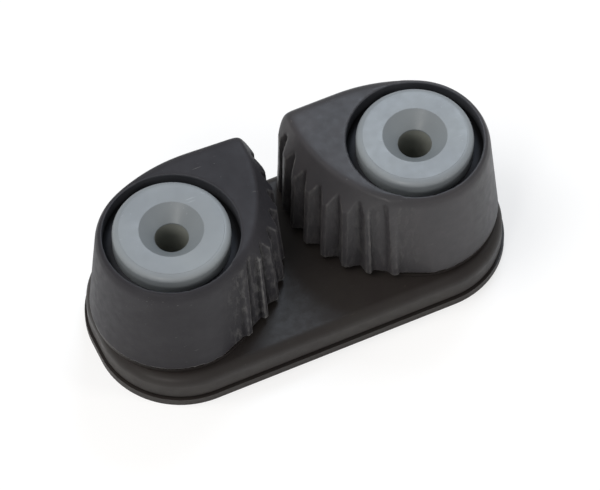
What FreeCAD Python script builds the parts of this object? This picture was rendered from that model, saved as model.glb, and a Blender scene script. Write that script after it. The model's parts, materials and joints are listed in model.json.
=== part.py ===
import FreeCAD, Part
import math
import os
import Sketcher

# Two-cam rope cleat: a base with two posts, two toothed cams that turn on them
# against torsion springs, and a countersunk cap on each post.
# X runs along the two screw holes, +Y is the side where the jaws nearly meet, +Z is up.
# The origin is midway between the screw holes, on the underside. Lengths are in mm.

SIZES = {
    # fixing screws and pivots
    "pivot_spacing": 38.0,
    "screw_hole_radius": 2.45,
    "post_radius": 7.0,
    "bearing_play": 0.06,
    "side_play": 0.3,
    # sole plate
    "sole_length": 63.0,
    "sole_width": 28.8,
    "sole_corner": 12.6,
    "sole_thickness": 1.3,
    # base plate
    "base_inset": 0.35,
    "base_top": 5.7,
    "base_edge_round": 1.5,
    "shadow_line_height": 0.4,
    "shadow_line_depth": 0.5,
    "pad_inner_radius": 9.6,
    "pad_outer_radius": 12.1,
    "pad_height": 0.6,
    # cam outline at its foot, about its own pivot
    "cam_height": 16.9,
    "cam_round_radius": 12.3,
    "cam_rear_side": 14.0,
    "cam_rear_radius": 26.8,
    "nose_radius": 2.8,
    "toe_radius": 12.0,
    "jaw_radius": 16.65,
    "jaw_centre_x": 1.2,
    "jaw_centre_y": 5.15,
    "cam_draft": 5.2,
    # jaw arc at the cam's top: wider and further back, so the nose stands upright
    "jaw_top_radius": 17.16,
    "jaw_top_x": -0.19,
    "jaw_top_y": 6.83,
    "rim_round": 1.3,
    # ramp from the cam's top down into the teeth
    "crease_radius": 24.15,
    "crease_centre_x": -9.2,
    "crease_centre_y": 9.25,
    "ramp_depth": 8.0,
    "ramp_foot_radius": 18.62,
    "ramp_foot_x": 0.22,
    "ramp_foot_y": 6.47,
    "ramp_reach": 14.0,
    "ramp_middle": -15.0,
    "ramp_span": 120.0,
    # teeth, counted from the nose
    "tooth_count": 8,
    "first_tooth_angle": 18.8,
    "tooth_pitch": 11.1,
    "pitch_growth": 0.0143,
    "tooth_land": 2.6,
    "gap_depth": 1.5,
    "gap_fade": 0.52,
    "gap_share_rear": 0.58,
    "gap_share_step": 0.03,
    "gap_floor": 0.2,
    "gap_runout": 0.25,
    # the last gap but one is a channel, and the last one a step behind the rearmost tooth
    "channel_depth": 0.72,
    "channel_floor": 2.1,
    "channel_share": 0.57,
    "step_depth": 0.42,
    "step_floor": 0.4,
    "step_share": 0.75,
    "gap_overrun": 4.0,
    "tooth_lean": 2.2,
    # cap and the recess round it
    "cap_radius": 8.45,
    "cap_height": 3.45,
    "cap_proud": 0.85,
    "cap_edge_bevel": 0.6,
    "countersink_radius": 4.63,
    "spigot_radius": 4.6,
    "spigot_height": 1.05,
    "recess_play": 1.4,
    # spring and turning stop
    "spring_radius": 8.2,
    "spring_wire": 1.0,
    "spring_turns": 2.75,
    "spring_pitch": 1.3,
    "spring_room_radius": 9.35,
    "spring_room_height": 4.6,
    "spring_leg_angle": 60.0,
    "spring_seat_play": 0.1,
    "spring_leg_depth": 2.5,
    "spring_leg_reach": 10.3,
    "spring_leg_play": 0.12,
    "stop_radius": 11.1,
    "stop_width": 1.2,
    "stop_length": 3.0,
    "stop_height": 2.0,
    "stop_angle": 33.0,
    "stop_play": 0.3,
    "cam_travel": 55.0,
    # how far each cam lies from its drawn position at rest, anticlockwise
    "left_rest_turn": -3.0,
    "right_rest_turn": 0.0,
}

doc = FreeCAD.newDocument("cam_cleat")
sheet = doc.addObject("Spreadsheet::Sheet", "Sizes")
for row, (alias, value) in enumerate(SIZES.items(), start=1):
    sheet.set("A%d" % row, alias.replace("_", " "))
    sheet.set("B%d" % row, str(value))
    sheet.setAlias("B%d" % row, alias)
doc.recompute()


def worth(formula):
    """Number that a formula over the sheet's cells gives now."""
    result = sheet.evalExpression(formula)
    return float(getattr(result, "Value", result))


def new_body(name, x_formula=None):
    """Body with its own label, moved along X to its pivot where a formula is given."""
    body = doc.addObject("PartDesign::Body", name)
    body.Label = name
    if x_formula:
        body.setExpression("Placement.Base.x", x_formula)
    return body


def new_sketch(body, name, plane="XY_Plane", height=None, x=None, y=None, turn=None):
    """Sketch on one of the body's own planes, raised, shifted and turned by formulas."""
    sketch = body.newObject("Sketcher::SketchObject", name)
    support = [item for item in body.Origin.OriginFeatures if item.Role == plane][0]
    sketch.AttachmentSupport = [(support, "")]
    sketch.MapMode = "FlatFace"
    offsets = {"Base.x": x, "Base.y": y, "Base.z": height, "Rotation.Angle": turn}
    for part, formula in offsets.items():
        if formula:
            sketch.setExpression("AttachmentOffset." + part, formula)
    return sketch


def bind(sketch, kind, places, formula):
    """Dimension on a sketch whose value is a formula over the sheet's cells."""
    value = math.radians(worth(formula)) if kind == "Angle" else worth(formula)
    index = sketch.addConstraint(Sketcher.Constraint(kind, *places, value))
    sketch.setExpression("Constraints[%d]" % index, formula)


def relate(sketch, kind, *places):
    """Geometric relation on a sketch."""
    sketch.addConstraint(Sketcher.Constraint(kind, *places))


def vector(x, y, z=0.0):
    return FreeCAD.Vector(x, y, z)


UP = vector(0, 0, 1)


def arc(centre_x, centre_y, radius, start_degrees, end_degrees):
    """Anticlockwise arc for a sketch."""
    circle = Part.Circle(vector(centre_x, centre_y), UP, radius)
    return Part.ArcOfCircle(circle, math.radians(start_degrees), math.radians(end_degrees))


def line(start, end):
    return Part.LineSegment(vector(*start), vector(*end))


def draw_circle(sketch, radius, x=None, y=None):
    """Circle about the sketch's origin, or about a point given by formulas."""
    centre = vector(worth(x) if x else 0.0, worth(y) if y else 0.0)
    circle = sketch.addGeometry(Part.Circle(centre, UP, worth(radius)), False)
    if x:
        bind(sketch, "DistanceX", (-1, 1, circle, 3), x)
    if y:
        bind(sketch, "DistanceY", (-1, 1, circle, 3), y)
    if not x and not y:
        relate(sketch, "Coincident", circle, 3, -1, 1)
    elif not y:
        relate(sketch, "PointOnObject", circle, 3, -1)
    bind(sketch, "Radius", (circle,), radius)


def draw_plate(sketch, length, width, corner):
    """Rounded rectangle centred on the sketch's origin, from three formulas."""
    half_length = worth(length) / 2
    half_width = worth(width) / 2
    radius = worth(corner)
    flat_x = half_length - radius
    flat_y = half_width - radius
    sides = [
        line((flat_x, half_width), (-flat_x, half_width)),
        arc(-flat_x, flat_y, radius, 90, 180),
        line((-half_length, flat_y), (-half_length, -flat_y)),
        arc(-flat_x, -flat_y, radius, 180, 270),
        line((-flat_x, -half_width), (flat_x, -half_width)),
        arc(flat_x, -flat_y, radius, 270, 360),
        line((half_length, -flat_y), (half_length, flat_y)),
        arc(flat_x, flat_y, radius, 0, 90),
    ]
    sketch.addGeometry(sides, False)
    for side in (0, 2, 4, 6):
        relate(sketch, "Tangent", side, 2, side + 1, 1)
        relate(sketch, "Tangent", side + 1, 2, (side + 2) % 8, 1)
    relate(sketch, "Horizontal", 0)
    relate(sketch, "Vertical", 2)
    relate(sketch, "Equal", 1, 3)
    relate(sketch, "Equal", 3, 5)
    relate(sketch, "Equal", 5, 7)
    relate(sketch, "Symmetric", 1, 3, 5, 3, -1, 1)
    bind(sketch, "Radius", (1,), corner)
    bind(sketch, "DistanceX", (-1, 1, 6, 1), "(%s) / 2" % length)
    bind(sketch, "DistanceY", (-1, 1, 0, 1), "(%s) / 2" % width)


def draw_arc_slot(sketch, radius, width, middle, span):
    """Ring sector about the sketch's origin, centred on the middle angle."""
    inner = worth("%s - (%s) / 2" % (radius, width))
    outer = worth("%s + (%s) / 2" % (radius, width))
    start = worth("%s - (%s) / 2" % (middle, span))
    end = worth("%s + (%s) / 2" % (middle, span))

    def at(reach, degrees):
        angle = math.radians(degrees)
        return (reach * math.cos(angle), reach * math.sin(angle))

    sketch.addGeometry([
        arc(0, 0, outer, start, end),
        line(at(outer, end), at(inner, end)),
        arc(0, 0, inner, start, end),
        line(at(inner, start), at(outer, start)),
    ], False)
    relate(sketch, "Coincident", 0, 3, -1, 1)
    relate(sketch, "Coincident", 2, 3, -1, 1)
    relate(sketch, "Coincident", 0, 2, 1, 1)
    relate(sketch, "Coincident", 1, 2, 2, 2)
    relate(sketch, "Coincident", 2, 1, 3, 1)
    relate(sketch, "Coincident", 3, 2, 0, 1)
    bind(sketch, "Radius", (0,), "%s + (%s) / 2" % (radius, width))
    bind(sketch, "Radius", (2,), "%s - (%s) / 2" % (radius, width))
    guide = sketch.addGeometry(line((0, 0), at(inner, start)), True)
    relate(sketch, "Coincident", guide, 1, -1, 1)
    relate(sketch, "Coincident", guide, 2, 2, 1)
    relate(sketch, "Parallel", guide, 3)
    guide_end = sketch.addGeometry(line((0, 0), at(inner, end)), True)
    relate(sketch, "Coincident", guide_end, 1, -1, 1)
    relate(sketch, "Coincident", guide_end, 2, 2, 2)
    relate(sketch, "Parallel", guide_end, 1)
    bind(sketch, "Angle", (-1, 1, guide, 1), "%s - (%s) / 2" % (middle, span))
    bind(sketch, "Angle", (guide, 1, guide_end, 1), span)


def pad(body, name, sketch, length, down=False, taper=None):
    """Pad of a sketch by a formula, downwards or with an inward draft where asked."""
    feature = body.newObject("PartDesign::Pad", name)
    feature.Profile = sketch
    feature.Type = "Length"
    feature.setExpression("Length", length)
    feature.Reversed = down
    if taper:
        feature.setExpression("TaperAngle", taper)
    sketch.Visibility = False
    doc.recompute()
    return feature


def pocket(body, name, sketch, depth=None, upwards=False):
    """Pocket of a sketch by a formula, or right through the body without one."""
    feature = body.newObject("PartDesign::Pocket", name)
    feature.Profile = sketch
    before = body.Shape.Volume
    feature.Type = "Length" if depth else "ThroughAll"
    if depth:
        feature.setExpression("Length", depth)
    feature.Reversed = upwards
    sketch.Visibility = False
    doc.recompute()
    if not body.Shape.Volume < before:
        raise RuntimeError("%s cuts nothing" % name)
    return feature


def edges_where(feature, test):
    """Names of a feature's edges for which the test holds."""
    edges = enumerate(feature.Shape.Edges, start=1)
    return ["Edge%d" % number for number, edge in edges if test(edge)]


def lies_at(edge, height):
    """Whether an edge lies flat at a height."""
    box = edge.BoundBox
    return abs(box.ZMin - height) < 1e-3 and abs(box.ZMax - height) < 1e-3


def dress(body, name, base, edges, size, kind="Fillet"):
    """Rounding or chamfer of named edges, its size a formula."""
    feature = body.newObject("PartDesign::" + kind, name)
    feature.Base = (base, edges)
    feature.setExpression("Radius" if kind == "Fillet" else "Size", size)
    doc.recompute()
    return feature


# Heights and radii that several pieces share.
LEFT_PIVOT = "-Sizes.pivot_spacing / 2"
PLATE_TOP = "Sizes.base_top"
CAM_BOTTOM = "(Sizes.base_top + Sizes.pad_height + Sizes.side_play)"
CAM_TOP = "(%s + Sizes.cam_height)" % CAM_BOTTOM
CAP_TOP = "(%s + Sizes.cap_proud)" % CAM_TOP
SHOULDER = "(%s - Sizes.cap_height)" % CAP_TOP
RECESS_RADIUS = "(Sizes.cap_radius + Sizes.recess_play)"
STOP_SPAN = "(Sizes.stop_length / Sizes.stop_radius * 180 / pi)"
STOP_PLAY_ANGLE = "(Sizes.stop_play / Sizes.stop_radius * 180 / pi)"
WIRE = "Sizes.spring_wire"
WIRE_ANGLE = "(Sizes.spring_wire / Sizes.spring_room_radius * 180 / pi)"
COIL_BOTTOM = "(Sizes.base_top + Sizes.spring_seat_play)"
SPRING_START = "(Sizes.spring_leg_angle - 360 * Sizes.spring_turns)"
NOTCH_DEPTH = "(Sizes.spring_leg_reach + 2 * Sizes.spring_leg_play - Sizes.spring_radius)"


# Sole plate: flat, with the plan of the whole foot.
sole_plate = new_body("sole_plate")
sole_outline = new_sketch(sole_plate, "sole_outline")
draw_plate(sole_outline, "Sizes.sole_length", "Sizes.sole_width", "Sizes.sole_corner")
draw_circle(sole_outline, "Sizes.screw_hole_radius", x="Sizes.pivot_spacing / 2")
draw_circle(sole_outline, "Sizes.screw_hole_radius", x=LEFT_PIVOT)
pad(sole_plate, "sole_slab", sole_outline, "Sizes.sole_thickness")

# Base: slab on a set-back foot, which leaves the dark line above the sole plate.
base = new_body("base")
foot_outline = new_sketch(base, "foot_outline", height="Sizes.sole_thickness")
FOOT_INSET = "(Sizes.base_inset + Sizes.shadow_line_depth)"
draw_plate(
    foot_outline,
    "Sizes.sole_length - 2 * %s" % FOOT_INSET,
    "Sizes.sole_width - 2 * %s" % FOOT_INSET,
    "Sizes.sole_corner - %s" % FOOT_INSET,
)
pad(base, "foot", foot_outline, "Sizes.shadow_line_height")
SLAB_BOTTOM = "(Sizes.sole_thickness + Sizes.shadow_line_height)"
slab_outline = new_sketch(base, "slab_outline", height=SLAB_BOTTOM)
draw_plate(
    slab_outline,
    "Sizes.sole_length - 2 * Sizes.base_inset",
    "Sizes.sole_width - 2 * Sizes.base_inset",
    "Sizes.sole_corner - Sizes.base_inset",
)
slab = pad(base, "slab", slab_outline, "%s - %s" % (PLATE_TOP, SLAB_BOTTOM))
slab_rim = edges_where(slab, lambda edge: lies_at(edge, worth(PLATE_TOP)))
dress(base, "slab_edge", slab, slab_rim, "Sizes.base_edge_round")

# Each pivot: bearing pad, post with a shoulder and a spigot, and a stop lug.
# The lug and the hole for the spring's leg lie where the cam's rest position asks.
LEG_ANGLE = "(%s + Sizes.spring_wire / 2 / Sizes.spring_radius * 180 / pi)" % SPRING_START
LEG_HOLE_RADIUS = "(Sizes.spring_wire / sqrt(2) + Sizes.spring_leg_play)"
for side, pivot, turned in (
    ("left", LEFT_PIVOT, "(%s + Sizes.left_rest_turn)"),
    ("right", "Sizes.pivot_spacing / 2", "(180 - %s + Sizes.right_rest_turn)"),
):
    stop = turned % "Sizes.stop_angle"
    leg_x = "Sizes.spring_radius * cos(%s)" % (turned % LEG_ANGLE)
    leg_y = "Sizes.spring_radius * sin(%s)" % (turned % LEG_ANGLE)
    bearing_pad = new_sketch(base, side + "_pad_ring", height=PLATE_TOP, x=pivot)
    draw_circle(bearing_pad, "Sizes.pad_outer_radius")
    draw_circle(bearing_pad, "Sizes.pad_inner_radius")
    pad(base, side + "_bearing_pad", bearing_pad, "Sizes.pad_height")
    post_circle = new_sketch(base, side + "_post_circle", height=PLATE_TOP, x=pivot)
    draw_circle(post_circle, "Sizes.post_radius")
    pad(base, side + "_post", post_circle, "%s - %s" % (SHOULDER, PLATE_TOP))
    spigot_circle = new_sketch(base, side + "_spigot_circle", height=SHOULDER, x=pivot)
    draw_circle(spigot_circle, "Sizes.spigot_radius")
    pad(base, side + "_spigot", spigot_circle, "Sizes.spigot_height")
    stop_sector = new_sketch(base, side + "_stop_sector", height=PLATE_TOP, x=pivot)
    draw_arc_slot(stop_sector, "Sizes.stop_radius", "Sizes.stop_width", stop, STOP_SPAN)
    pad(base, side + "_stop", stop_sector, "%s - %s + Sizes.stop_height" % (CAM_BOTTOM, PLATE_TOP))
    screw_circle = new_sketch(base, side + "_screw_circle", height="Sizes.sole_thickness", x=pivot)
    draw_circle(screw_circle, "Sizes.screw_hole_radius")
    pocket(base, side + "_screw_hole", screw_circle, upwards=True)
    leg_circle = new_sketch(base, side + "_leg_circle", height=PLATE_TOP, x=pivot)
    draw_circle(leg_circle, LEG_HOLE_RADIUS, x=leg_x, y=leg_y)
    pocket(base, side + "_leg_hole", leg_circle, "Sizes.spring_leg_depth")

# Left cam about its own pivot: a loft between its outline at the foot and at the top.
left_cam = new_body("left_cam", LEFT_PIVOT)
left_cam.setExpression("Placement.Rotation.Angle", "Sizes.left_rest_turn")
WALL_INSET = "(Sizes.cam_height * tan(Sizes.cam_draft))"


def part_way(low, share, high):
    """Formula for a size that changes from one cell's value to another's up the cam."""
    return "(Sizes.%s + %s * (Sizes.%s - Sizes.%s))" % (low, share, high, low)


def draw_cam_outline(sketch, share, trim):
    """Round wall, nearly straight rear side, nose and eccentric jaw arc, as tangent arcs.

    The outline lies a share of the way up the leaning walls and is set in by a trim.
    """
    inset = "%s * %s - %s" % (WALL_INSET, share, trim)
    formulas = {
        "round": "Sizes.cam_round_radius - " + inset,
        "side": "Sizes.cam_rear_side - " + inset,
        "rear": "Sizes.cam_rear_radius - " + inset,
        "nose": "Sizes.nose_radius - " + trim,
        "toe": "Sizes.toe_radius + " + trim,
        "jaw": part_way("jaw_radius", share, "jaw_top_radius") + " - " + trim,
        "x": part_way("jaw_centre_x", share, "jaw_top_x"),
        "y": part_way("jaw_centre_y", share, "jaw_top_y"),
    }
    now = {name: worth(formula) for name, formula in formulas.items()}
    rear_y = now["side"] - now["rear"]
    rear_x = math.sqrt((now["rear"] - now["round"]) ** 2 - rear_y ** 2)
    nose_y = now["side"] - now["nose"]
    reach = math.sqrt((now["jaw"] - now["nose"]) ** 2 - (nose_y - now["y"]) ** 2)
    nose_x = now["x"] + reach
    rear_angle = math.degrees(math.atan2(-rear_y, -rear_x))
    nose_angle = math.degrees(math.atan2(nose_y - now["y"], reach))
    # A hollow arc outside both circles joins the round wall to the jaw arc.
    offset = math.hypot(now["x"], now["y"])
    from_pivot = now["round"] + now["toe"]
    from_jaw = now["jaw"] + now["toe"]
    along = (from_pivot ** 2 - from_jaw ** 2 + offset ** 2) / (2 * offset)
    toe_angle = math.atan2(now["y"], now["x"]) - math.acos(along / from_pivot)
    toe_x = from_pivot * math.cos(toe_angle)
    toe_y = from_pivot * math.sin(toe_angle)
    round_end = math.degrees(toe_angle)
    jaw_start = math.degrees(math.atan2(toe_y - now["y"], toe_x - now["x"]))
    sketch.addGeometry([
        arc(0, 0, now["round"], rear_angle, 270),
        arc(now["x"], now["y"], now["jaw"], jaw_start, nose_angle),
        arc(nose_x, nose_y, now["nose"], nose_angle, 90),
        line((nose_x, now["side"]), (rear_x, now["side"])),
        arc(rear_x, rear_y, now["rear"], 90, rear_angle),
        arc(toe_x, toe_y, now["toe"], jaw_start + 180, round_end + 180),
        arc(0, 0, now["round"], 270, round_end + 360),
    ], False)
    relate(sketch, "Coincident", 0, 3, -1, 1)
    relate(sketch, "Coincident", 6, 3, -1, 1)
    relate(sketch, "PointOnObject", 0, 2, -2)
    relate(sketch, "Coincident", 0, 2, 6, 1)
    relate(sketch, "Tangent", 6, 2, 5, 2)
    relate(sketch, "Tangent", 5, 1, 1, 1)
    relate(sketch, "Tangent", 1, 2, 2, 1)
    relate(sketch, "Tangent", 2, 2, 3, 1)
    relate(sketch, "Tangent", 3, 2, 4, 1)
    relate(sketch, "Tangent", 4, 2, 0, 1)
    relate(sketch, "Horizontal", 3)
    bind(sketch, "Radius", (0,), formulas["round"])
    bind(sketch, "Radius", (1,), formulas["jaw"])
    bind(sketch, "Radius", (2,), formulas["nose"])
    bind(sketch, "Radius", (4,), formulas["rear"])
    bind(sketch, "Radius", (5,), formulas["toe"])
    bind(sketch, "DistanceX", (-1, 1, 1, 3), formulas["x"])
    bind(sketch, "DistanceY", (-1, 1, 1, 3), formulas["y"])
    bind(sketch, "DistanceY", (-1, 1, 3, 1), formulas["side"])


# The rim is rounded in two steps, whose corners lie on an arc.
RIM_STEP = "(Sizes.rim_round * (1 - sqrt(2) / 2))"
outlines = []
for name, drop, trim in (
    ("cam_crown", "0", "Sizes.rim_round"),
    ("rim_middle", RIM_STEP, RIM_STEP),
    ("rim_foot", "Sizes.rim_round", "0"),
    ("cam_foot", "Sizes.cam_height", "0"),
):
    outline = new_sketch(left_cam, name, height="%s - %s" % (CAM_TOP, drop))
    draw_cam_outline(outline, "(1 - %s / Sizes.cam_height)" % drop, trim)
    outlines.append(outline)
doc.recompute()
blank = left_cam.newObject("PartDesign::AdditiveLoft", "cam_blank")
blank.Profile = outlines[0]
blank.Sections = outlines[1:]
blank.Ruled = True
doc.recompute()

# Ramp: a slanting cone between a wide circle at the top and a tighter one lower down.
ramp_foot = new_sketch(
    left_cam,
    "ramp_foot",
    height="%s - Sizes.ramp_depth" % CAM_TOP,
    x="Sizes.ramp_foot_x",
    y="Sizes.ramp_foot_y",
)
draw_arc_slot(
    ramp_foot,
    "(Sizes.ramp_foot_radius + Sizes.ramp_reach / 2)",
    "Sizes.ramp_reach",
    "Sizes.ramp_middle",
    "Sizes.ramp_span",
)
crease = new_sketch(
    left_cam, "crease", height=CAM_TOP, x="Sizes.crease_centre_x", y="Sizes.crease_centre_y"
)
draw_arc_slot(
    crease,
    "(Sizes.crease_radius + Sizes.ramp_reach / 2)",
    "Sizes.ramp_reach",
    "Sizes.ramp_middle",
    "Sizes.ramp_span",
)
doc.recompute()
ramp = left_cam.newObject("PartDesign::SubtractiveLoft", "ramp")
ramp.Profile = ramp_foot
ramp.Sections = [crease]
ramp.Ruled = True
doc.recompute()


def tooth_angle(tooth):
    """Formula for one ridge's angle about the jaw's centre, counted from the nose."""
    reach = "%d * (1 + Sizes.pitch_growth * %d)" % (tooth, tooth)
    return "(Sizes.first_tooth_angle - Sizes.tooth_pitch * %s)" % reach


def draw_gap(sketch, gap):
    """Gap in front of one tooth, about the jaw's centre: a notch, channel or step."""
    pitch = "(%s - %s)" % (tooth_angle(gap), tooth_angle(gap + 1))
    fade = "(1 - Sizes.gap_fade * (%d / (Sizes.tooth_count - 1)) ^ 2)" % gap
    share = "(Sizes.gap_share_rear - Sizes.gap_share_step * %d)" % gap
    depth = "Sizes.gap_depth * " + fade
    floor = "Sizes.gap_floor"
    special = {0: "step", 1: "channel"}.get(int(SIZES["tooth_count"]) - 1 - gap)
    if special:
        share, depth, floor = ["Sizes.%s_%s" % (special, name) for name in ("share", "depth", "floor")]
    root = "(Sizes.jaw_radius - %s)" % depth
    middle = "%s * %s" % (share, pitch)
    half_floor = "%s / %s * 90 / pi" % (floor, root)
    far_root, far_lip, near_lip, near_root = [
        ("%s * cos(%s)" % (reach, angle), "%s * sin(%s)" % (reach, angle))
        for reach, angle in (
            (root, "(%s + %s)" % (middle, half_floor)),
            ("Sizes.jaw_radius", "(%s - Sizes.tooth_land / 2)" % pitch),
            ("Sizes.jaw_radius", "(Sizes.tooth_land / 2)"),
            (root, "(%s - %s)" % (middle, half_floor)),
        )
    ]
    points = [far_root]
    for (root_x, root_y), (lip_x, lip_y) in ((far_root, far_lip), (near_root, near_lip)):
        points.append((
            "%s + (%s - %s) * Sizes.gap_overrun" % (root_x, lip_x, root_x),
            "%s + (%s - %s) * Sizes.gap_overrun" % (root_y, lip_y, root_y),
        ))
    points.append(near_root)
    places = [(worth(x), worth(y)) for x, y in points]
    sketch.addGeometry([line(places[n], places[(n + 1) % 4]) for n in range(4)], False)
    for side in range(4):
        relate(sketch, "Coincident", side, 2, (side + 1) % 4, 1)
        bind(sketch, "DistanceX", (-1, 1, side, 1), points[side][0])
        bind(sketch, "DistanceY", (-1, 1, side, 1), points[side][1])


# How far the jaw arc moves in, in one direction, from the foot to the top. The gaps
# lean a little less than it does, so that they run out upwards.
JAW_INSET = (
    "(Sizes.jaw_radius - Sizes.jaw_top_radius"
    " + (Sizes.jaw_centre_x - Sizes.jaw_top_x) * cos(%s)"
    " + (Sizes.jaw_centre_y - Sizes.jaw_top_y) * sin(%s))"
)
for gap in range(int(SIZES["tooth_count"])):
    front = tooth_angle(gap + 1)
    gap_outline = new_sketch(
        left_cam,
        "gap_%d_outline" % (gap + 1),
        height=CAM_BOTTOM,
        x="Sizes.jaw_centre_x",
        y="Sizes.jaw_centre_y",
        turn=front,
    )
    draw_gap(gap_outline, gap)
    doc.recompute()
    before = left_cam.Shape.Volume
    cut = left_cam.newObject("PartDesign::Pocket", "gap_%d" % (gap + 1))
    cut.Profile = gap_outline
    cut.Type = "ThroughAll"
    cut.Reversed = True
    cut.UseCustomVector = True
    middle = "((%s + %s) / 2)" % (front, tooth_angle(gap))
    lean = "tan(Sizes.tooth_lean)"
    draft = "((%s - Sizes.gap_runout) / Sizes.cam_height)" % (JAW_INSET % (middle, middle))
    cut.Direction = vector(0, 0, -1)
    cut.setExpression("Direction.x", "%s * cos(%s) + %s * sin(%s)" % (draft, middle, lean, middle))
    cut.setExpression("Direction.y", "%s * sin(%s) - %s * cos(%s)" % (draft, middle, lean, middle))
    doc.recompute()
    if not left_cam.Shape.Volume < before:
        raise RuntimeError("%s cuts nothing" % cut.Name)

top_circle = new_sketch(left_cam, "recess_circle", height=CAM_TOP)
draw_circle(top_circle, RECESS_RADIUS)
pocket(left_cam, "cap_recess", top_circle, "%s - (%s - Sizes.side_play)" % (CAM_TOP, SHOULDER))
room_circle = new_sketch(left_cam, "spring_room_circle", height=CAM_BOTTOM)
draw_circle(room_circle, "Sizes.spring_room_radius")
pocket(left_cam, "spring_room", room_circle, "Sizes.spring_room_height", upwards=True)
bore_circle = new_sketch(left_cam, "bore_circle", height=CAM_BOTTOM)
draw_circle(bore_circle, "Sizes.post_radius + Sizes.bearing_play")
pocket(left_cam, "bore", bore_circle, upwards=True)
stop_track = new_sketch(left_cam, "stop_track", height=CAM_BOTTOM)
draw_arc_slot(
    stop_track,
    "Sizes.stop_radius",
    "Sizes.stop_width + 2 * Sizes.stop_play",
    "(Sizes.stop_angle - Sizes.cam_travel / 2)",
    "(Sizes.cam_travel + %s + 2 * %s)" % (STOP_SPAN, STOP_PLAY_ANGLE),
)
pocket(left_cam, "stop_slot", stop_track, "Sizes.stop_height + Sizes.stop_play", upwards=True)
leg_notch = new_sketch(left_cam, "leg_notch_outline", height=CAM_BOTTOM)
draw_arc_slot(
    leg_notch,
    "(Sizes.spring_leg_reach + Sizes.spring_leg_play - %s / 2)" % NOTCH_DEPTH,
    NOTCH_DEPTH,
    "(Sizes.spring_leg_angle - %s / 2)" % WIRE_ANGLE,
    "(%s + 2 * Sizes.spring_leg_play / Sizes.spring_room_radius * 180 / pi)" % WIRE_ANGLE,
)
pocket(left_cam, "leg_notch", leg_notch, "Sizes.spring_room_height", upwards=True)

# Left cap: a washer with a socket over the spigot and a countersink for the screw.
left_cap = new_body("left_cap", LEFT_PIVOT)
cap_circle = new_sketch(left_cap, "cap_circle", height=SHOULDER)
draw_circle(cap_circle, "Sizes.cap_radius")
disc = pad(left_cap, "cap_disc", cap_circle, "Sizes.cap_height")
cap_rim = edges_where(disc, lambda edge: lies_at(edge, worth(CAP_TOP)))
dress(left_cap, "cap_edge", disc, cap_rim, "Sizes.cap_edge_bevel", "Chamfer")
socket_circle = new_sketch(left_cap, "socket_circle", height=SHOULDER)
draw_circle(socket_circle, "Sizes.spigot_radius")
pocket(left_cap, "socket", socket_circle, "Sizes.spigot_height", upwards=True)
cap_screw_circle = new_sketch(left_cap, "cap_screw_circle", height=SHOULDER)
draw_circle(cap_screw_circle, "Sizes.screw_hole_radius")
cap_hole = pocket(left_cap, "cap_screw_hole", cap_screw_circle, upwards=True)
widest_mouth = 3 * worth("Sizes.screw_hole_radius")
mouth = edges_where(
    cap_hole,
    lambda edge: lies_at(edge, worth(CAP_TOP)) and edge.BoundBox.XLength < widest_mouth,
)
COUNTERSINK_DEPTH = "Sizes.countersink_radius - Sizes.screw_hole_radius"
dress(left_cap, "countersink", cap_hole, mouth, COUNTERSINK_DEPTH, "Chamfer")

# Left spring: square wire wound about the post, one leg down into the base and one
# leg out into the cam's notch. Its own X axis runs through the lower leg.
left_spring = new_body("left_spring", LEFT_PIVOT)
left_spring.setExpression("Placement.Rotation.Angle", SPRING_START + " + Sizes.left_rest_turn")
wire_end = new_sketch(left_spring, "wire_end", plane="XZ_Plane")


def draw_box(sketch, x, y, width, depth):
    """Rectangle from its low corner and its two sides, all formulas."""
    low = (worth(x), worth(y))
    high = (low[0] + worth(width), low[1] + worth(depth))
    sketch.addGeometry([
        line(low, (high[0], low[1])),
        line((high[0], low[1]), high),
        line(high, (low[0], high[1])),
        line((low[0], high[1]), low),
    ], False)
    for side in range(4):
        relate(sketch, "Coincident", side, 2, (side + 1) % 4, 1)
    relate(sketch, "Horizontal", 0)
    relate(sketch, "Vertical", 1)
    relate(sketch, "Horizontal", 2)
    relate(sketch, "Vertical", 3)
    bind(sketch, "DistanceX", (-1, 1, 0, 1), x)
    bind(sketch, "DistanceY", (-1, 1, 0, 1), y)
    bind(sketch, "DistanceX", (0, 1, 0, 2), width)
    bind(sketch, "DistanceY", (1, 1, 1, 2), depth)


draw_box(wire_end, "Sizes.spring_radius - Sizes.spring_wire / 2", COIL_BOTTOM, WIRE, WIRE)
coil = left_spring.newObject("PartDesign::AdditiveHelix", "coil")
coil.Profile = wire_end
coil.ReferenceAxis = (wire_end, ["V_Axis"])
coil.Mode = "pitch-turns-angle"
coil.setExpression("Pitch", "Sizes.spring_pitch")
coil.setExpression("Turns", "Sizes.spring_turns")
doc.recompute()
lower_leg = new_sketch(left_spring, "lower_leg_end", height="%s + %s / 2" % (COIL_BOTTOM, WIRE))
draw_box(lower_leg, "Sizes.spring_radius - Sizes.spring_wire / 2", "0", WIRE, WIRE)
pad(left_spring, "lower_leg", lower_leg, "Sizes.spring_leg_depth", down=True)
upper_leg = new_sketch(
    left_spring,
    "upper_leg_side",
    height="%s + Sizes.spring_pitch * Sizes.spring_turns" % COIL_BOTTOM,
    turn="360 * Sizes.spring_turns",
)
LEG_LENGTH = "Sizes.spring_leg_reach - Sizes.spring_radius + Sizes.spring_wire / 2"
draw_box(upper_leg, "Sizes.spring_radius - Sizes.spring_wire / 2", "-" + WIRE, LEG_LENGTH, WIRE)
pad(left_spring, "upper_leg", upper_leg, WIRE)

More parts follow.
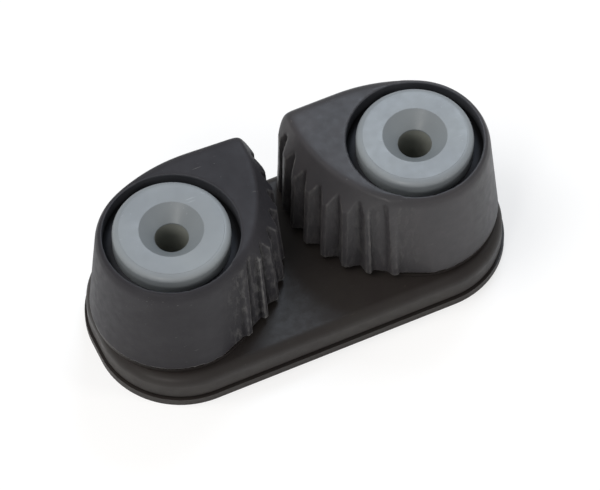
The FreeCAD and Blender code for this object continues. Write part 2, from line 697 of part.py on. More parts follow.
# The right-hand cam, cap and spring are mirror images of the left-hand ones; the cam
# and its spring are turned about their pivot from the left rest position to the right one.
RIGHT_TURN = "(Sizes.right_rest_turn + Sizes.left_rest_turn)"
finished = [sole_plate, base, left_cam, left_cap, left_spring]
for source in (left_cam, left_cap, left_spring):
    name = source.Label.replace("left", "right")
    twin = doc.addObject("Part::Mirroring", name)
    twin.Label = name
    twin.Source = source
    twin.Normal = vector(1, 0, 0)
    twin.Base = vector(0, 0)
    finished.append(twin)
    if source is not left_cap:
        twin.setExpression("Placement.Rotation.Angle", RIGHT_TURN)
        twin.setExpression("Placement.Base.x", "Sizes.pivot_spacing / 2 * (1 - cos(%s))" % RIGHT_TURN)
        twin.setExpression("Placement.Base.y", "-Sizes.pivot_spacing / 2 * sin(%s)" % RIGHT_TURN)
doc.recompute()

for item in doc.Objects:
    if "Invalid" in item.State or "Error" in item.State:
        raise RuntimeError("%s did not build: %s" % (item.Label, item.State))
for item in finished:
    if item.Shape.isNull() or not item.Shape.isValid() or len(item.Shape.Solids) != 1:
        raise RuntimeError("%s is not one sound solid" % item.Label)

os.makedirs("parts", exist_ok=True)
for item in finished:
    item.Shape.exportStep("parts/%s.step" % item.Label)
    print("%-12s %9.1f mm3" % (item.Label, item.Shape.Volume))
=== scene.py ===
"""Dresses a two-cam rope cleat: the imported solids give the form, this script the finish."""

import json
import logging
import math
from dataclasses import dataclass, field
from enum import Enum

import bpy
from mathutils import Matrix, Vector

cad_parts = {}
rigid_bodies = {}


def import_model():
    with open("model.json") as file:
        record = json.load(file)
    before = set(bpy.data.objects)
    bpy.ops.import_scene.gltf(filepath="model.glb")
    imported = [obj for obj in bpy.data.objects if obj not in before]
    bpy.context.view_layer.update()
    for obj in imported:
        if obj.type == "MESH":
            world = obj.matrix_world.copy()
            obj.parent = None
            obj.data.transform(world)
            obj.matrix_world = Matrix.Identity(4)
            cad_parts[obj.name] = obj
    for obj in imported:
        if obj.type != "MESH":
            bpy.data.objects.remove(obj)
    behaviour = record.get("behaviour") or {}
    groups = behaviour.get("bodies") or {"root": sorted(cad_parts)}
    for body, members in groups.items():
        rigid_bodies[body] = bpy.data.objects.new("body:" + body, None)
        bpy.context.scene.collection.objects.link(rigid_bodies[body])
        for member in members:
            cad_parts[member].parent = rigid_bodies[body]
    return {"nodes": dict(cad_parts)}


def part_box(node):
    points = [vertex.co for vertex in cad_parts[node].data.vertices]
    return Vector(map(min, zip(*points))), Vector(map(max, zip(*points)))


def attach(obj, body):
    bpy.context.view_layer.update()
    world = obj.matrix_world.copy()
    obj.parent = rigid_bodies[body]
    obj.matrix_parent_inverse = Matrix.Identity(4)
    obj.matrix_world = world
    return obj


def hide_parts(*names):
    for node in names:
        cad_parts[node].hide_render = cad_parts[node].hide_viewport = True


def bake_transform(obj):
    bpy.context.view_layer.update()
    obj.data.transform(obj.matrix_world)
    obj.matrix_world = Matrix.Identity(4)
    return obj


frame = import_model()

log = logging.getLogger("cleat")

MM = 0.001
ORIGIN = (0.0, 0.0, 0.0)
MERGE_REACH = 0.002 * MM
# Reach from each pivot of the lighter tone painted into each cam's recess, as painted light.
CAM_HOLE_REACH = 9.95 * MM
NOISE_ROUGHNESS = 0.55
STRAIGHT_OUT = 0.0
STRAIGHT_UP = 90.0

Colour = tuple[float, float, float, float]
Triple = tuple[float, float, float]
Profile = list[tuple[float, float]]
Socket = bpy.types.NodeSocket

BLACK: Colour = (0.0, 0.0, 0.0, 1.0)
WHITE: Colour = (1.0, 1.0, 1.0, 1.0)

# Marks that a moulding's mesh carries for its finish.
EDGE_MARK = "edge"
# How far a point lies back from its neighbours; the finish paints shade there.
DIP_MARK = "dip"
JAW_MARK = "jaw"

# Sockets of the colour mixer, which has others of the same names.
MIX_FIRST = 6
MIX_SECOND = 7
MIX_RESULT = 2


class Side(Enum):
    """The two sides of the cleat, seen with the jaws' narrow end at the back."""

    LEFT = "left"
    RIGHT = "right"

    @property
    def inward(self) -> float:
        """Sign along X of the way from this side's pivot to the rope."""
        return 1.0 if self is Side.LEFT else -1.0

    @property
    def pivot_x(self) -> float:
        """Place along X of the axis that this side's cam turns about."""
        low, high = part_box(self.value + "_cap")
        return (low[0] + high[0]) / 2


# How far each pivot stands from the middle of the cleat.
PIVOT_OUT = Side.RIGHT.pivot_x


def linear(red: int, green: int, blue: int) -> Colour:
    """Colour for a shader from its 0 to 255 values on a screen.

    Args:
        red: Red value.
        green: Green value.
        blue: Blue value.

    Returns:
        The colour in linear light, with full alpha.
    """

    def level(value: int) -> float:
        """Level in linear light, by the usual curve of screens."""
        share = value / 255
        return share / 12.92 if share <= 0.04045 else ((share + 0.055) / 1.055) ** 2.4

    return (level(red), level(green), level(blue), 1.0)


def deselect() -> None:
    """Leaves nothing selected, so that an operator acts on one piece only."""
    for thing in bpy.context.view_layer.objects:
        thing.select_set(False)
    bpy.context.view_layer.objects.active = None


def activate(piece: bpy.types.Object) -> None:
    """Makes one piece the only selected and active one.

    Args:
        piece: The object to act on next.
    """
    deselect()
    piece.select_set(True)
    bpy.context.view_layer.objects.active = piece


@dataclass(frozen=True)
class Pattern:
    """A noise pattern: the size of its features, its detail, and the band of values that counts."""

    size: float
    detail: float
    low: float
    high: float


CLOUDS = Pattern(6 * MM, detail=4.0, low=0.35, high=0.68)
WIDE_CLOUDS = Pattern(9 * MM, detail=4.0, low=0.35, high=0.68)
SPECKS = Pattern(0.5 * MM, detail=3.0, low=0.71, high=0.78)
SCRATCHES = Pattern(3.5 * MM, detail=2.0, low=0.69, high=0.74)
SCRATCHED_PLACES = Pattern(5 * MM, detail=2.0, low=0.5, high=0.62)
RUB_AND_HIGHLIGHT_PATCHES = Pattern(0.9 * MM, detail=4.0, low=0.3, high=0.6)
JAW_WEAR = Pattern(0.7 * MM, detail=6.0, low=0.48, high=0.66)
GLOSS_PATCHES = Pattern(1.4 * MM, detail=5.0, low=0.3, high=0.7)
WIRE_MARKS = Pattern(0.4 * MM, detail=4.0, low=0.3, high=0.7)


@dataclass(frozen=True)
class NodePen:
    """Adds nodes and links to a material in few words."""

    tree: bpy.types.NodeTree

    def add(self, kind: str, **values: object) -> bpy.types.Node:
        """Adds a node.

        Args:
            kind: Node type without its ShaderNode prefix.
            **values: Properties of the node, or its sockets by name with spaces as underscores.

        Returns:
            The new node.
        """
        node = self.tree.nodes.new("ShaderNode" + kind)
        for name, value in values.items():
            socket = node.inputs.get(name.replace("_", " "))
            if socket is not None:
                socket.default_value = value
            else:
                setattr(node, name, value)
        return node

    def link(self, source: Socket, target: Socket) -> None:
        """Joins an output to an input."""
        self.tree.links.new(source, target)

    def end(self, shaded: Socket) -> None:
        """Ends the material with what it shows."""
        self.link(shaded, self.add("OutputMaterial").inputs["Surface"])

    def place(self) -> Socket:
        """Coordinates of a point on its piece, in metres."""
        return self.add("TexCoord").outputs["Object"]

    def mark(self, name: str) -> Socket:
        """Value of a mark that the mesh carries, or nothing where it carries none."""
        return self.add("Attribute", attribute_name=name).outputs["Fac"]

    def stretched(self, place: Socket, scale: Triple, turn: Triple = ORIGIN) -> Socket:
        """Turns and scales coordinates, which stretches the pattern that reads them.

        Args:
            place: Coordinates on the piece.
            scale: Scale along each axis, below one for longer features.
            turn: Turn about each axis, in radians.

        Returns:
            The new coordinates.
        """
        node = self.add("Mapping", Rotation=turn, Scale=scale)
        self.link(place, node.inputs["Vector"])
        return node.outputs["Vector"]

    def noise(self, place: Socket, size: float, detail: float = 2.0) -> Socket:
        """Noise whose features are about a given size.

        Args:
            place: Coordinates on the piece.
            size: Size of the features in metres.
            detail: How many finer layers it has.

        Returns:
            The noise, from 0 to 1.
        """
        node = self.add("TexNoise", Scale=1.0 / size, Detail=detail, Roughness=NOISE_ROUGHNESS)
        self.link(place, node.inputs["Vector"])
        return node.outputs["Fac"]

    def ramp(
        self, source: Socket, low: float = 0.0, high: float = 1.0, start: float = 0.0, end: float = 1.0
    ) -> Socket:
        """Maps a range of a value to another range, held at both ends.

        Args:
            source: The value.
            low: Where its range begins.
            high: Where its range ends.
            start: Result at the low end.
            end: Result at the high end.

        Returns:
            The result.
        """
        node = self.add("MapRange", clamp=True, From_Min=low, From_Max=high, To_Min=start, To_Max=end)
        self.link(source, node.inputs["Value"])
        return node.outputs["Result"]

    def pattern(self, place: Socket, look: Pattern, start: float = 0.0, end: float = 1.0) -> Socket:
        """Noise of a pattern, its band mapped to a range."""
        return self.ramp(self.noise(place, look.size, look.detail), look.low, look.high, start, end)

    def product(self, first: Socket, second: Socket) -> Socket:
        """Multiplies two values.

        Args:
            first: One value.
            second: The other value.

        Returns:
            Their product.
        """
        node = self.add("Math", operation="MULTIPLY")
        self.link(first, node.inputs[0])
        self.link(second, node.inputs[1])
        return node.outputs["Value"]

    def mix(self, share: Socket, first: Socket | Colour, second: Socket | Colour) -> Socket:
        """Mixes two colours by a share.

        Args:
            share: How much of the second colour shows.
            first: A colour, or the socket that gives it.
            second: The colour that is laid over the first, or its socket.

        Returns:
            The mixed colour.
        """
        node = self.add("Mix", data_type="RGBA")
        self.link(share, node.inputs["Factor"])
        for number, colour in ((MIX_FIRST, first), (MIX_SECOND, second)):
            if isinstance(colour, Socket):
                self.link(colour, node.inputs[number])
            else:
                node.inputs[number].default_value = colour
        return node.outputs[MIX_RESULT]

    def bump(self, height: Socket, depth: float, before: Socket | None = None) -> Socket:
        """Relief laid over an earlier one.

        Args:
            height: Height from 0 to 1.
            depth: How deep the full height is, in metres.
            before: The earlier relief, or none.

        Returns:
            The relief.
        """
        node = self.add("Bump", Strength=1.0, Distance=depth)
        self.link(height, node.inputs["Height"])
        if before is not None:
            self.link(before, node.inputs["Normal"])
        return node.outputs["Normal"]


def blank_material(name: str) -> tuple[bpy.types.Material, NodePen]:
    """Starts a material.

    Args:
        name: Its name.

    Returns:
        The material with no nodes, and a pen for them.
    """
    made = bpy.data.materials.new(name)
    made.use_nodes = True
    made.node_tree.nodes.clear()
    return made, NodePen(made.node_tree)


@dataclass(frozen=True)
class MouldedPlastic:
    """Moulded plastic with a fine grain, faint clouding, specks, and rubbed edges that carry a painted
    highlight.
    """

    name: str
    body: Colour
    cloud: Colour
    rubbed_and_highlight: Colour
    roughness: float
    clouds: Pattern = CLOUDS
    smoother: float = 0.05
    rougher: float = 0.06
    grain_size: float = 0.28 * MM
    grain_depth: float = 0.006 * MM
    ripple_size: float = 2.2 * MM
    ripple_depth: float = 0.01 * MM
    speck_share: float = 0.35
    edge_mark_from: float = 0.25
    rub_and_highlight_share: float = 0.5
    rub_and_highlight_least: float = 0.3
    scratch_share: float = 0.25
    scratch_turn: Triple = (0.3, 0.2, 0.7)
    scratch_scale: Triple = (1.0, 14.0, 14.0)
    hole_reach: float = 0.0
    hole_fade: float = 0.1 * MM
    # Tone painted within the hole's reach, standing in for the light and shade there.
    painted_hole_tone: Colour = linear(54, 55, 59)
    hole_share: float = 1.0
    scuff_share: float = 0.0
    wear_scale: Triple = (1.0, 1.0, 0.3)
    wear_depth: float = 0.05 * MM
    dip_shade_share: float = 0.85
    shine: float = 0.5

    def material(self) -> bpy.types.Material:
        """Builds the finish as a material.

        Returns:
            The new material.
        """
        made, pen = blank_material(self.name)
        place = pen.place()
        colour = pen.mix(pen.pattern(place, self.clouds), self.body, self.cloud)
        colour = pen.mix(pen.pattern(place, SPECKS, end=self.speck_share), colour, self.rubbed_and_highlight)
        colour = pen.mix(self.scratches(pen, place), colour, self.rubbed_and_highlight)
        # Painted highlight together with rubbing: the marked edges, crests and rim are lightened in
        # patches.
        colour = pen.mix(self.rubs_and_highlights(pen, place), colour, self.rubbed_and_highlight)
        # Painted shade: points that lie back, as in the gaps between teeth, are darkened towards
        # black.
        colour = pen.mix(pen.ramp(pen.mark(DIP_MARK), end=self.dip_shade_share), colour, BLACK)
        relief = None
        if self.scuff_share:
            wear = self.jaw_wear(pen, place)
            colour = pen.mix(pen.ramp(wear, end=self.scuff_share), colour, self.rubbed_and_highlight)
            relief = pen.bump(wear, self.wear_depth)
        # Painted light and shade in the holes: lighter down the base's bore and in the cams' recesses,
        # darker in the caps' countersinks.
        if self.hole_reach:
            colour = pen.mix(self.in_hole(pen, place), colour, self.painted_hole_tone)
        relief = pen.bump(pen.noise(place, self.ripple_size), self.ripple_depth, relief)
        relief = pen.bump(pen.noise(place, self.grain_size), self.grain_depth, relief)
        smooth_end, rough_end = self.roughness - self.smoother, self.roughness + self.rougher
        shader = pen.add("BsdfPrincipled", Specular_IOR_Level=self.shine)
        pen.link(colour, shader.inputs["Base Color"])
        pen.link(pen.pattern(place, GLOSS_PATCHES, smooth_end, rough_end), shader.inputs["Roughness"])
        pen.link(relief, shader.inputs["Normal"])
        pen.end(shader.outputs["BSDF"])
        return made

    def scratches(self, pen: NodePen, place: Socket) -> Socket:
        """Sparse fine scratches that run across the piece.

        Args:
            pen: Pen of the material's node tree.
            place: Coordinates on the piece.

        Returns:
            How strongly a scratch shows at each point.
        """
        along = pen.stretched(place, self.scratch_scale, self.scratch_turn)
        lines = pen.pattern(along, SCRATCHES, end=self.scratch_share)
        return pen.product(lines, pen.pattern(place, SCRATCHED_PLACES))

    def rubs_and_highlights(self, pen: NodePen, place: Socket) -> Socket:
        """Patchy rubbing and a painted highlight along the marked edges.

        Args:
            pen: Pen of the material's node tree.
            place: Coordinates on the piece.

        Returns:
            How strongly the rubbing and painted highlight show at each point.
        """
        edges = pen.ramp(pen.mark(EDGE_MARK), low=self.edge_mark_from, end=self.rub_and_highlight_share)
        return pen.product(edges, pen.pattern(place, RUB_AND_HIGHLIGHT_PATCHES, start=self.rub_and_highlight_least))

    def jaw_wear(self, pen: NodePen, place: Socket) -> Socket:
        """Upright patches worn by the rope on the marked jaw.

        Args:
            pen: Pen of the material's node tree.
            place: Coordinates on the piece.

        Returns:
            How worn each point is.
        """
        upright = pen.stretched(place, self.wear_scale)
        return pen.product(pen.mark(JAW_MARK), pen.pattern(upright, JAW_WEAR))

    def in_hole(self, pen: NodePen, place: Socket) -> Socket:
        """Which points lie within the hole's reach of the nearer pivot.

        Args:
            pen: Pen of the material's node tree.
            place: Coordinates on the piece.

        Returns:
            How strongly the painted light and shade of the hole show at each point.
        """
        parts = pen.add("SeparateXYZ")
        pen.link(place, parts.inputs["Vector"])
        across = pen.add("Math", operation="ABSOLUTE")
        pen.link(parts.outputs["X"], across.inputs[0])
        shifted = pen.add("Math", operation="SUBTRACT")
        pen.link(across.outputs["Value"], shifted.inputs[0])
        shifted.inputs[1].default_value = PIVOT_OUT
        flat = pen.add("CombineXYZ")
        pen.link(shifted.outputs["Value"], flat.inputs["X"])
        pen.link(parts.outputs["Y"], flat.inputs["Y"])
        reach = pen.add("VectorMath", operation="LENGTH")
        pen.link(flat.outputs["Vector"], reach.inputs[0])
        faded = self.hole_reach + self.hole_fade
        return pen.ramp(reach.outputs["Value"], self.hole_reach, faded, self.hole_share, 0.0)


@dataclass(frozen=True)
class SpringWire:
    """Drawn steel wire with fine marks."""

    name: str = "spring_wire"
    body: Colour = linear(150, 150, 152)
    marked: Colour = linear(110, 108, 105)
    roughness: float = 0.32
    rougher: float = 0.15

    def material(self) -> bpy.types.Material:
        """Builds the finish as a material.

        Returns:
            The new material.
        """
        made, pen = blank_material(self.name)
        marks = pen.noise(pen.place(), WIRE_MARKS.size, WIRE_MARKS.detail)
        rough_end = self.roughness + self.rougher
        rough = pen.ramp(marks, WIRE_MARKS.low, WIRE_MARKS.high, self.roughness, rough_end)
        shader = pen.add("BsdfPrincipled", Metallic=1.0)
        pen.link(pen.mix(marks, self.body, self.marked), shader.inputs["Base Color"])
        pen.link(rough, shader.inputs["Roughness"])
        pen.end(shader.outputs["BSDF"])
        return made


BLACK_BODY = MouldedPlastic(
    name="black_body_plastic",
    body=linear(34, 30, 29),
    cloud=linear(38, 35, 33),
    rubbed_and_highlight=linear(86, 82, 76),
    roughness=0.46,
    # Painted light down the bore of each post, under the cap's hole.
    hole_reach=2.5 * MM,
    painted_hole_tone=linear(126, 128, 122),
    ripple_depth=0.006 * MM,
    shine=0.3,
)
DARK_CAM = MouldedPlastic(
    name="dark_cam_plastic",
    body=linear(41, 40, 43),
    cloud=linear(46, 45, 48),
    rubbed_and_highlight=linear(118, 117, 115),
    roughness=0.5,
    rub_and_highlight_share=1.0,
    scratch_share=0.5,
    hole_reach=CAM_HOLE_REACH,
    scuff_share=0.3,
    wear_depth=0.12 * MM,
    shine=0.15,
)
PALE_CAM = MouldedPlastic(
    name="pale_cam_plastic",
    body=linear(48, 47, 49),
    cloud=linear(54, 52, 54),
    rubbed_and_highlight=linear(112, 110, 107),
    roughness=0.44,
    rub_and_highlight_share=0.55,
    dip_shade_share=0.4,
    hole_reach=CAM_HOLE_REACH,
    scuff_share=0.12,
    shine=0.3,
)
# Painted shade: a dull copy of the cam plastic for the faces deep in each cam's recess, its tone set
# for the shade round the cap.
HOLLOW = MouldedPlastic(
    name="shaded_hollow_plastic",
    body=linear(62, 63, 67),
    cloud=linear(68, 69, 73),
    rubbed_and_highlight=linear(76, 76, 78),
    roughness=0.75,
    shine=0.1,
)
GREY_CAP = MouldedPlastic(
    name="grey_cap_plastic",
    body=linear(115, 120, 124),
    cloud=linear(123, 128, 131),
    rubbed_and_highlight=linear(170, 175, 178),
    roughness=0.42,
    clouds=WIDE_CLOUDS,
    grain_size=0.22 * MM,
    grain_depth=0.003 * MM,
    ripple_depth=0.008 * MM,
    rub_and_highlight_share=0.3,
    # Painted shade in the countersink.
    hole_reach=4.6 * MM,
    painted_hole_tone=linear(84, 90, 92),
    hole_share=0.3,
)


def dress(piece: bpy.types.Object, finish: bpy.types.Material) -> None:
    """Puts one finish on every slot of a piece.

    Args:
        piece: The object to dress.
        finish: Its material.
    """
    if not piece.material_slots:
        piece.data.materials.append(finish)
    for slot in piece.material_slots:
        slot.material = finish


def copy_of(node: str, name: str) -> bpy.types.Object:
    """Copies a carried-over solid and closes its mesh.

    Args:
        node: The solid's name.
        name: The copy's name.

    Returns:
        The copy, with no parent.
    """
    activate(frame["nodes"][node])
    bpy.ops.object.duplicate()
    piece = bpy.context.view_layer.objects.active
    piece.parent = None
    piece.name = name
    bpy.ops.object.mode_set(mode="EDIT")
    bpy.ops.mesh.select_all(action="SELECT")
    bpy.ops.mesh.remove_doubles(threshold=MERGE_REACH)
    bpy.ops.object.mode_set(mode="OBJECT")
    return piece


def smooth(piece: bpy.types.Object, rounds: int, group: str = "") -> None:
    """Evens out a mesh, which rounds its edges.

    Args:
        piece: The object to smooth.
        rounds: How many times each point moves half way to its neighbours' middle.
        group: Name of the vertex group that it is kept to, or none.
    """
    activate(piece)
    even = piece.modifiers.new("soft_edges", "SMOOTH")
    even.factor = 0.5
    even.iterations = rounds
    even.vertex_group = group
    bpy.ops.object.modifier_apply(modifier=even.name)


def mark_relief(piece: bpy.types.Object, name: str, rounds: int, reach: float) -> None:
    """Marks how far each point stands out or lies back.

    Args:
        piece: The object to mark.
        name: The mark's name.
        rounds: Smoothing rounds of the copy that it is compared with.
        reach: Distance that counts as one, below zero for points that lie back.
    """
    activate(piece)
    bpy.ops.object.duplicate()
    even = bpy.context.view_layer.objects.active
    smooth(even, rounds)
    marks = piece.data.attributes.new(name, "FLOAT", "POINT")
    for point, other, mark in zip(piece.data.vertices, even.data.vertices, marks.data):
        out = (point.co - other.co).dot(point.normal) / reach
        mark.value = min(max(out, 0.0), 1.0)
    mesh = even.data
    bpy.data.objects.remove(even)
    bpy.data.meshes.remove(mesh)


@dataclass
class Cam:
    """One toothed cam, its crests and edges softened as a moulding's are."""

    side: Side
    finish: bpy.types.Material
    hollow: bpy.types.Material
    voxel: float = 0.215 * MM
    rounds: int = 2
    plain_rounds: int = 36
    hollow_reach: float = CAM_HOLE_REACH
    hollow_depth: float = 0.7 * MM
    top_depth: float = 2.4 * MM
    rim_reach: float = 10.6 * MM
    foot_height: float = 1.0 * MM
    teeth_from: float = 3.5 * MM
    teeth_to: float = 11.2 * MM
    jaw_fade: float = 1.5 * MM
    steep_limit: float = 0.3
    crease_gain: float = 1.6
    mark_rounds: int = 14
    mark_reach: float = 0.09 * MM
    dip_rounds: int = 60
    dip_reach: float = 0.12 * MM
    # Share of the edge marks that stays on the crease and rim, as a painted highlight.
    rim_rub_and_highlight: float = 0.45

    def axis(self) -> Vector:
        """Where the cam's pivot stands, seen from above."""
        return Vector((self.side.pivot_x, 0.0))

    def soften(self) -> bpy.types.Object:
        """Copies the cam's solid and rounds its sharp edges.

        Returns:
            The softened moulding.
        """
        piece = copy_of(self.side.value + "_cam", self.side.value + "_cam_moulding")
        remesh = piece.modifiers.new("even_mesh", "REMESH")
        remesh.mode = "VOXEL"
        remesh.voxel_size = self.voxel
        bpy.ops.object.modifier_apply(modifier=remesh.name)
        smooth(piece, self.rounds)
        self.soften_plain(piece)
        mark_relief(piece, EDGE_MARK, self.mark_rounds, self.mark_reach)
        mark_relief(piece, DIP_MARK, self.dip_rounds, -self.dip_reach)
        self.fade_rubs_and_highlights(piece)
        activate(piece)
        bpy.ops.object.shade_smooth()
        return piece

    def soften_plain(self, piece: bpy.types.Object) -> None:
        """Evens the plain walls, crease and rim more than the teeth, and marks the jaw.

        Args:
            piece: The moulding, its teeth done.
        """
        axis = self.axis()
        foot, top = (corner[2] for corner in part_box(self.side.value + "_cam"))
        group = piece.vertex_groups.new(name="plain")
        jaw = [0.0] * len(piece.data.vertices)
        for point in piece.data.vertices:
            place = point.co.xy - axis
            if place.length < self.rim_reach:
                continue
            share = (point.co.z - foot - self.foot_height) / self.foot_height
            past_side = place.x * self.side.inward - self.teeth_from
            if past_side > 0 and place.y < self.teeth_to:
                steep = 1.0 - min(abs(point.normal.z) / self.steep_limit, 1.0)
                jaw[point.index] = steep * min(past_side / self.jaw_fade, 1.0)
                share = self.crease_gain * (point.co.z - top + self.top_depth) / self.top_depth
            if share > 0:
                group.add([point.index], min(share, 1.0), "REPLACE")
        smooth(piece, self.plain_rounds, group.name)
        piece.vertex_groups.clear()
        marks = piece.data.attributes.new(JAW_MARK, "FLOAT", "POINT")
        marks.data.foreach_set("value", jaw)

    def fade_rubs_and_highlights(self, piece: bpy.types.Object) -> None:
        """Lowers the edge marks on the crease and rim, which no rope touches, so that a faint painted
        highlight stays there.

        Args:
            piece: The marked moulding.
        """
        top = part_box(self.side.value + "_cam")[1][2]
        for point, mark in zip(piece.data.vertices, piece.data.attributes[EDGE_MARK].data):
            if point.co.z > top - self.top_depth:
                mark.value *= self.rim_rub_and_highlight

    def build(self) -> None:
        """Makes the cam and puts it on its body."""
        piece = self.soften()
        piece.data.materials.clear()
        piece.data.materials.append(self.finish)
        piece.data.materials.append(self.hollow)
        axis = self.axis()
        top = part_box(self.side.value + "_cam")[1][2]
        # Painted shade: faces deep in the recess take the dull hollow copy.
        for face in piece.data.polygons:
            deep = face.center.z < top - self.hollow_depth
            inside = (face.center.xy - axis).length < self.hollow_reach
            face.material_index = int(deep and inside)
        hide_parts(self.side.value + "_cam")
        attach(piece, self.side.value + "_cam")
        log.info("%s: %d faces", piece.name, len(piece.data.polygons))


@dataclass
class Spring:
    """One torsion spring, copied from its solid."""

    side: Side
    finish: bpy.types.Material
    wire: float = 1.0 * MM
    rise: float = 4.4 * MM

    def build(self) -> None:
        """Copies the spring's solid, gives it the wire's finish and hides the solid."""
        name = self.side.value + "_spring"
        piece = copy_of(name, self.side.value + "_spring_coil")
        piece.data.materials.clear()
        piece.data.materials.append(self.finish)
        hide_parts(name)
        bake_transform(piece)
        log.info("%s: %d faces", piece.name, len(piece.data.polygons))


@dataclass
class BaseGroup:
    """The base and its sole plate."""

    body: bpy.types.Material

    def build(self) -> None:
        """Gives the carried-over solids their finish."""
        for name in ("base", "sole_plate"):
            dress(frame["nodes"][name], self.body)
            log.info("%s: dressed", name)


def bow(
    centre: tuple[float, float], radius: float, start: float, end: float, steps: int
) -> Profile:
    """Points along an arc of a turned profile.

    Args:
        centre: Distance of its centre from the axis, and its height.
        radius: Its radius.
        start: Angle of the first point in degrees, from straight out.
        end: Angle of the last point.
        steps: How many pieces it has.

    Returns:
        The points.
    """
    angles = [math.radians(start + (end - start) * step / steps) for step in range(steps + 1)]
    out, up = centre
    return [(out + radius * math.cos(turn), up + radius * math.sin(turn)) for turn in angles]


def turned(name: str, axis_x: float, profile: Profile, steps: int = 144) -> bpy.types.Object:
    """Turns a closed profile about an upright axis.

    Args:
        name: The piece's name.
        axis_x: Where the axis stands along X.
        profile: Distances from the axis and heights, in order round the profile.
        steps: Pieces of a full turn.

    Returns:
        The turned piece.
    """
    deselect()
    bpy.ops.mesh.primitive_plane_add(size=MM, location=ORIGIN)
    piece = bpy.context.view_layer.objects.active
    piece.name = name
    bpy.ops.object.mode_set(mode="EDIT")
    bpy.ops.mesh.select_all(action="SELECT")
    bpy.ops.mesh.merge(type="CENTER")
    last = (-axis_x, 0.0)
    for number, point in enumerate(profile + profile[:1]):
        step = (point[0] - last[0], 0.0, point[1] - last[1])
        if number:
            bpy.ops.mesh.extrude_vertices_move(TRANSFORM_OT_translate={"value": step})
        else:
            bpy.ops.transform.translate(value=step)
        last = point
    bpy.ops.mesh.select_all(action="SELECT")
    bpy.ops.mesh.remove_doubles(threshold=MERGE_REACH)
    axis = (axis_x, 0.0, 0.0)
    bpy.ops.mesh.spin(steps=steps, angle=2 * math.pi, center=axis, axis=(0.0, 0.0, 1.0))
    bpy.ops.mesh.select_all(action="SELECT")
    bpy.ops.mesh.remove_doubles(threshold=MERGE_REACH)
    bpy.ops.mesh.normals_make_consistent(inside=False)
    bpy.ops.object.mode_set(mode="OBJECT")
    return piece


@dataclass
class Cap:
    """One grey cap over a post: a rounded washer, countersunk for the screw."""

    side: Side
    finish: bpy.types.Material
    edge_round: float = 0.95 * MM
    edge_step: float = 0.05 * MM
    edge_turn: float = 88.0
    edge_steps: int = 10
    mouth_radius: float = 4.63 * MM
    mouth_round: float = 0.12 * MM
    mouth_turn: float = 135.0
    mouth_steps: int = 3
    hole_radius: float = 2.45 * MM
    socket_radius: float = 4.6 * MM
    socket_height: float = 1.05 * MM
    crease_angle: float = 30.0

    def profile(self, radius: float, low: float, high: float) -> Profile:
        """Outline of the cap's section, from its foot round to its socket.

        Args:
            radius: The cap's radius.
            low: Height of its underside.
            high: Height of its top.

        Returns:
            The section's points.
        """
        throat = high - (self.mouth_radius - self.hole_radius)
        shoulder = (radius - self.edge_round, high - self.edge_round - self.edge_step)
        inset = self.mouth_round / math.tan(math.radians(self.mouth_turn / 2))
        brow = (self.mouth_radius + inset, high - self.mouth_round)
        return [
            (radius, low),
            *bow(shoulder, self.edge_round, STRAIGHT_OUT, self.edge_turn, self.edge_steps),
            (radius - self.edge_round, high),
            *bow(brow, self.mouth_round, STRAIGHT_UP, self.mouth_turn, self.mouth_steps),
            (self.hole_radius, throat),
            (self.hole_radius, low + self.socket_height),
            (self.socket_radius, low + self.socket_height),
            (self.socket_radius, low),
        ]

    def build(self) -> None:
        """Turns the cap, dresses it and puts it on the base."""
        name = self.side.value + "_cap"
        low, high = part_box(name)
        profile = self.profile((high[0] - low[0]) / 2, low[2], high[2])
        piece = turned(name + "_moulding", self.side.pivot_x, profile)
        bpy.ops.object.shade_smooth_by_angle(angle=math.radians(self.crease_angle))
        dress(piece, self.finish)
        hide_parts(name)
        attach(piece, "base")
        log.info("%s: %d faces", piece.name, len(piece.data.polygons))


@dataclass(frozen=True)
class Lamp:
    """A square soft lamp: its place and size in metres, its power in watts, and its tint."""

    name: str
    place: Triple
    size: float
    power: float
    tint: Triple
    mirrored: bool = True

    def hang(self, target: Vector) -> None:
        """Hangs the lamp.

        Args:
            target: The point that it looks at.
        """
        data = bpy.data.lights.new(self.name, "AREA")
        data.size = self.size
        data.energy = self.power
        data.color = self.tint
        lamp = bpy.data.objects.new(self.name, data)
        lamp.visible_glossy = self.mirrored
        place = Vector(self.place)
        aim = (place - target).normalized().to_track_quat("Z", "Y")
        lamp.matrix_world = Matrix.Translation(place) @ aim.to_matrix().to_4x4()
        bpy.context.collection.objects.link(lamp)


COOL: Triple = (0.75, 0.86, 1.0)
WARM: Triple = (1.0, 0.975, 0.94)
LAMPS = (
    Lamp("key_lamp", (-0.4, 0.1, 0.75), size=0.5, power=4.6, tint=WARM, mirrored=False),
    Lamp("rear_lamp", (0.16, 0.2, 0.36), size=0.12, power=0.6, tint=COOL),
    Lamp("left_lamp", (-0.43, -0.41, 0.37), size=0.16, power=1.1, tint=WARM),
    Lamp("right_lamp", (0.6, -0.45, 0.28), size=0.2, power=1.9, tint=WARM, mirrored=False),
)


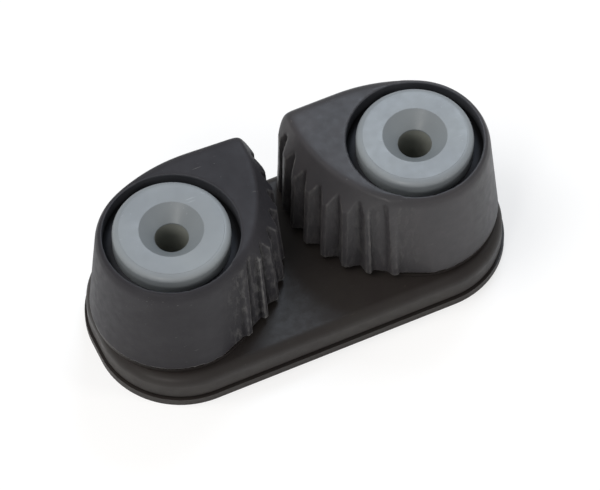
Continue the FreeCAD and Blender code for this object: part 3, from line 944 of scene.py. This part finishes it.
@dataclass
class Studio:
    """White floor and surround, soft lamps and the camera of the photograph."""

    azimuth: float = -23.85
    elevation: float = 56.83
    roll: float = -0.957
    distance: float = 732 * MM
    target: Vector = field(default_factory=lambda: Vector((0.0, 0.0, 10 * MM)))
    lens: float = 304.84
    shift: tuple[float, float] = (0.0088, -0.013)
    nearest: float = 0.05
    furthest: float = 20.0
    floor_size: float = 3.0
    paper: Colour = linear(246, 246, 246)
    paper_roughness: float = 0.9
    paper_shine: float = 0.1
    floor_glow: float = 0.6
    ambient: float = 0.36
    mirrored_white: float = 0.55

    def camera(self) -> None:
        """Places the camera at the photograph's angle."""
        turn = math.radians(self.azimuth)
        rise = math.radians(self.elevation)
        lean = math.radians(self.roll)
        ahead = math.cos(rise)
        back = Vector((math.sin(turn) * ahead, -math.cos(turn) * ahead, math.sin(rise)))
        right = Vector((math.cos(turn), math.sin(turn), 0.0))
        up = back.cross(right)
        across = right * math.cos(lean) + up * math.sin(lean)
        upward = up * math.cos(lean) - right * math.sin(lean)
        data = bpy.data.cameras.new("photo_camera")
        data.lens = self.lens
        data.shift_x, data.shift_y = self.shift
        data.clip_start = self.nearest
        data.clip_end = self.furthest
        camera = bpy.data.objects.new("photo_camera", data)
        facing = Matrix((across, upward, back)).transposed().to_4x4()
        camera.matrix_world = Matrix.Translation(self.target + back * self.distance) @ facing
        bpy.context.collection.objects.link(camera)
        bpy.context.scene.camera = camera

    def floor(self) -> None:
        """Lays a plain floor, which looks white to the camera and keeps the shadow."""
        deselect()
        bpy.ops.mesh.primitive_plane_add(size=self.floor_size, location=ORIGIN)
        sheet = bpy.context.view_layer.objects.active
        sheet.name = "floor"
        made, pen = blank_material("white_floor")
        paper = pen.add(
            "BsdfPrincipled",
            Base_Color=self.paper,
            Roughness=self.paper_roughness,
            Specular_IOR_Level=self.paper_shine,
        )
        glow = pen.add("Emission", Color=WHITE, Strength=1.0)
        path = pen.add("LightPath")
        both = pen.add("MixShader")
        pen.link(pen.ramp(path.outputs["Is Camera Ray"], end=self.floor_glow), both.inputs["Fac"])
        pen.link(paper.outputs["BSDF"], both.inputs[1])
        pen.link(glow.outputs["Emission"], both.inputs[2])
        pen.end(both.outputs["Shader"])
        sheet.data.materials.append(made)

    def world(self) -> None:
        """Gives a surround that is white to the camera and pale in reflections."""
        world = bpy.data.worlds.new("studio")
        bpy.context.scene.world = world
        world.use_nodes = True
        world.node_tree.nodes.clear()
        pen = NodePen(world.node_tree)
        path = pen.add("LightPath")
        mirrored = path.outputs["Is Glossy Ray"]
        level = pen.ramp(mirrored, start=self.ambient, end=self.mirrored_white)
        seen = pen.add("Math", operation="MAXIMUM")
        pen.link(level, seen.inputs[0])
        pen.link(path.outputs["Is Camera Ray"], seen.inputs[1])
        light = pen.add("Background", Color=WHITE)
        pen.link(seen.outputs["Value"], light.inputs["Strength"])
        output = pen.add("OutputWorld")
        pen.link(light.outputs["Background"], output.inputs["Surface"])

    def build(self) -> None:
        """Sets up the camera, floor, surround and lamps."""
        self.camera()
        self.floor()
        self.world()
        for lamp in LAMPS:
            lamp.hang(self.target)
        bpy.context.scene.view_settings.view_transform = "Standard"
        log.info("studio: camera, floor, surround and lamps")


def main() -> None:
    """Builds the scene in order."""
    logging.basicConfig(level=logging.INFO, format="%(name)s: %(message)s")
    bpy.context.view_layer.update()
    deselect()
    BaseGroup(BLACK_BODY.material()).build()
    cap_finish = GREY_CAP.material()
    hollow = HOLLOW.material()
    wire = SpringWire().material()
    for side, cam_finish in ((Side.LEFT, DARK_CAM), (Side.RIGHT, PALE_CAM)):
        Cam(side, cam_finish.material(), hollow).build()
        Cap(side, cap_finish).build()
        Spring(side, wire).build()
    Studio().build()


if __name__ == "__main__":
    main()
